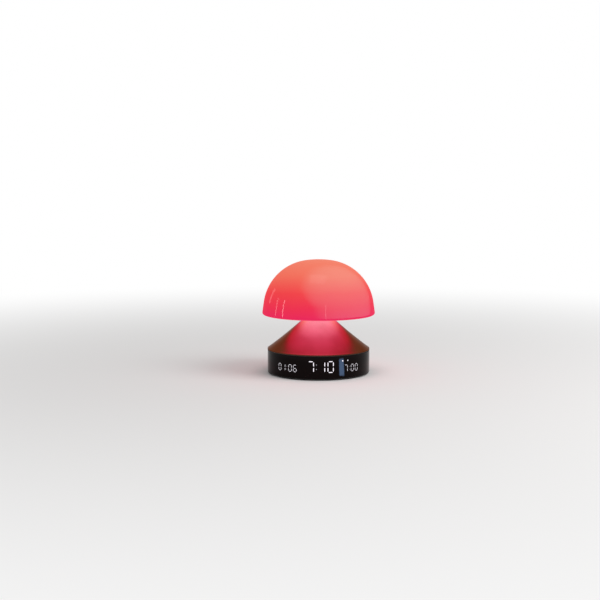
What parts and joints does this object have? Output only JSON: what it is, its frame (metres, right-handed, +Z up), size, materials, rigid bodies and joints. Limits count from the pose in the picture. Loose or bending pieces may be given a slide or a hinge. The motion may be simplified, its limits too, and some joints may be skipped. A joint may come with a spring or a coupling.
{
  "type": "sunrise alarm clock",
  "caption": "Bedside wake-up light and clock: an opal dome that presses down like a key, over a metal cone on a round base with a glossy display band and keys at the back.",
  "frame": {"origin": "centre of the base on the surface that it stands on", "axes": "+Z up along the lamp's axis; the display faces -Y; the keys and the power inlet are at +Y; +X is on the right of someone who reads the display"},
  "size_m": [0.12, 0.12, 0.121],
  "materials": {
    "opal": "opal diffuser with a smooth sheen, shown lit pink to coral",
    "frosted": "frosted diffuser, lit from above",
    "bronze": "spun and anodised dark bronze, satin",
    "black_gloss": "tinted black, polished",
    "black_plastic": "fine grain black",
    "key_plastic": "satin black",
    "white_plastic": "natural white moulding",
    "lit_white": "frosted light guide, lit white",
    "rubber": "matt black",
    "steel": "bright zinc",
    "aluminium": "plain sheet",
    "brass": "turned",
    "board": "solder mask, green",
    "board_white": "solder mask, white",
    "chip": "moulded package",
    "light_chip": "phosphor and clear gel",
    "wire_red": "insulation",
    "wire_black": "insulation",
    "ribbon": "polyimide film",
    "cell_sleeve": "shrink sleeve on a metal can",
    "paper": "coated paper",
    "magnet": "plated ferrite",
    "foam": "closed-cell foam"
  },
  "bodies": {
    "housing": {"return_spring": "steel", "cone_shell": "bronze", "neck_bush": "brass", "bush_nut": "brass", "tower": "black_plastic", "tower_screws": "steel", "press_switch_board": "board", "press_switch": "chip", "chassis": "black_plastic", "lens": "black_gloss", "base_pan": "black_plastic", "foot_ring": "rubber", "base_screws": "steel", "display_reflector": "black_plastic", "display_segments": "lit_white", "display_board": "board", "display_dies": "lit_white", "key_board": "board", "key_switches": "chip", "power_socket": "steel", "power_board": "board", "speaker_seal": "foam", "speaker_frame": "steel", "speaker_diaphragm": "paper", "speaker_magnet": "magnet", "battery_tray": "black_plastic", "battery_cell": "cell_sleeve", "battery_contacts": "steel", "battery_straps": "steel", "main_board": "board", "main_board_parts": "chip", "board_connectors": "white_plastic", "board_screws": "steel", "light_lead": "wire_black", "press_lead": "wire_red", "cell_leads": "wire_red", "speaker_lead": "wire_black", "power_lead": "wire_red", "display_ribbon": "ribbon", "key_lead": "wire_black"},
    "head": {"dome_shell": "opal", "underplate": "frosted", "head_stem": "aluminium", "stem_clip": "steel", "head_spider": "white_plastic", "heat_spreader": "aluminium", "light_board": "board_white", "light_chips": "light_chip", "plate_screws": "steel", "stem_screws": "steel", "light_cable": "wire_black", "light_plug": "white_plastic"},
    "key_alarm": {"key_alarm": "key_plastic"},
    "key_minus": {"key_minus": "key_plastic"},
    "key_set": {"key_set": "key_plastic"},
    "key_plus": {"key_plus": "key_plastic"},
    "key_light": {"key_light": "key_plastic"}
  },
  "joints": [
    {"name": "head_press", "type": "slide", "parent": "housing", "child": "head", "axis": [0, 0, -1], "range_m": [0, 0.0012], "stiffness_N_per_m": 1500, "springref_m": -0.003, "deforming": ["return_spring", "light_lead"]},
    {"name": "key_alarm_press", "type": "slide", "parent": "housing", "child": "key_alarm", "axis": [-0.4226, -0.9063, 0], "range_m": [0, 0.0006], "stiffness_N_per_m": 800, "springref_m": -0.001},
    {"name": "key_minus_press", "type": "slide", "parent": "housing", "child": "key_minus", "axis": [-0.2164, -0.9763, 0], "range_m": [0, 0.0006], "stiffness_N_per_m": 800, "springref_m": -0.001},
    {"name": "key_set_press", "type": "slide", "parent": "housing", "child": "key_set", "axis": [0, -1, 0], "range_m": [0, 0.0006], "stiffness_N_per_m": 800, "springref_m": -0.001},
    {"name": "key_plus_press", "type": "slide", "parent": "housing", "child": "key_plus", "axis": [0.2164, -0.9763, 0], "range_m": [0, 0.0006], "stiffness_N_per_m": 800, "springref_m": -0.001},
    {"name": "key_light_press", "type": "slide", "parent": "housing", "child": "key_light", "axis": [0.4226, -0.9063, 0], "range_m": [0, 0.0006], "stiffness_N_per_m": 800, "springref_m": -0.001}
  ]
}
